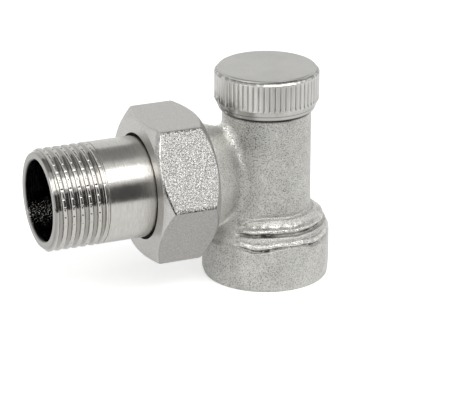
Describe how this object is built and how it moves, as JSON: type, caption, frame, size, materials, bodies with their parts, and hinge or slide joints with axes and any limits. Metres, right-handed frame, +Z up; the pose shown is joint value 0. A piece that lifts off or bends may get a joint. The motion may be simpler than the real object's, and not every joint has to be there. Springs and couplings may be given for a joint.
{
  "type": "angled shut-off valve",
  "caption": "Angled radiator shut-off valve of nickel-plated brass, with a threaded pipe port, a union nut and tail, and a splined shield cap.",
  "frame": {"origin": "centre of the pipe port's mouth, on the bottom face of the boss", "axes": "+Z up the column towards the cap, -X along the tail towards its mouth"},
  "size_m": [0.0634, 0.033, 0.0449],
  "materials": {
    "forged_nickel": "nickel plated over a shot-blasted forging, matt",
    "nut_nickel": "nickel plated, satin, grained flats",
    "polished_nickel": "nickel plated over turned brass, bright",
    "turned_nickel": "nickel plated over turned brass, satin",
    "machined_brass": "bare turned brass",
    "seal_rubber": "black seal rubber",
    "gasket_fibre": "red-brown fibre gasket"
  },
  "bodies": {
    "body": {"valve_body": "forged_nickel", "bonnet": "machined_brass", "bonnet_o_ring": "seal_rubber", "spindle_o_ring_lower": "seal_rubber", "spindle_o_ring_upper": "seal_rubber"},
    "union_seal": {"tail_o_ring": "seal_rubber"},
    "tail": {"union_tail": "polished_nickel"},
    "nut": {"union_nut": "nut_nickel"},
    "plug": {"valve_plug": "machined_brass", "plug_washer": "seal_rubber", "plug_washer_screw": "machined_brass"},
    "spindle": {"spindle": "machined_brass"},
    "cap_seal": {"cap_gasket": "gasket_fibre"},
    "cap": {"shield_cap": "turned_nickel"}
  },
  "joints": [
    {"name": "union_draw", "type": "slide", "parent": "body", "child": "union_seal", "axis": [-1, 0, 0], "range_m": [0, 0.0082]},
    {"name": "tail_swivel", "type": "hinge", "parent": "union_seal", "child": "tail", "pos_m": [-0.035, 0, 0.0229], "axis": [-1, 0, 0], "continuous": true},
    {"name": "nut_turn", "type": "hinge", "parent": "union_seal", "child": "nut", "pos_m": [-0.0223, 0, 0.0229], "axis": [-1, 0, 0], "range_deg": [0, 1620]},
    {"name": "plug_lift", "type": "slide", "parent": "body", "child": "plug", "axis": [0, 0, 1], "range_m": [0, 0.003]},
    {"name": "spindle_turn", "type": "hinge", "parent": "plug", "child": "spindle", "pos_m": [0, 0, 0.033], "axis": [0, 0, 1], "range_deg": [0, 1080]},
    {"name": "cap_lift", "type": "slide", "parent": "body", "child": "cap_seal", "axis": [0, 0, 1], "range_m": [0, 0.005]},
    {"name": "cap_turn", "type": "hinge", "parent": "cap_seal", "child": "cap", "pos_m": [0, 0, 0.04], "axis": [0, 0, 1], "range_deg": [0, 1800]}
  ],
  "couplings": [
    {"joint": "union_draw", "follows": "nut_turn", "m_per_rad": 0.00028871},
    {"joint": "plug_lift", "follows": "spindle_turn", "m_per_rad": 0.00015915},
    {"joint": "cap_lift", "follows": "cap_turn", "m_per_rad": 0.00015915}
  ]
}
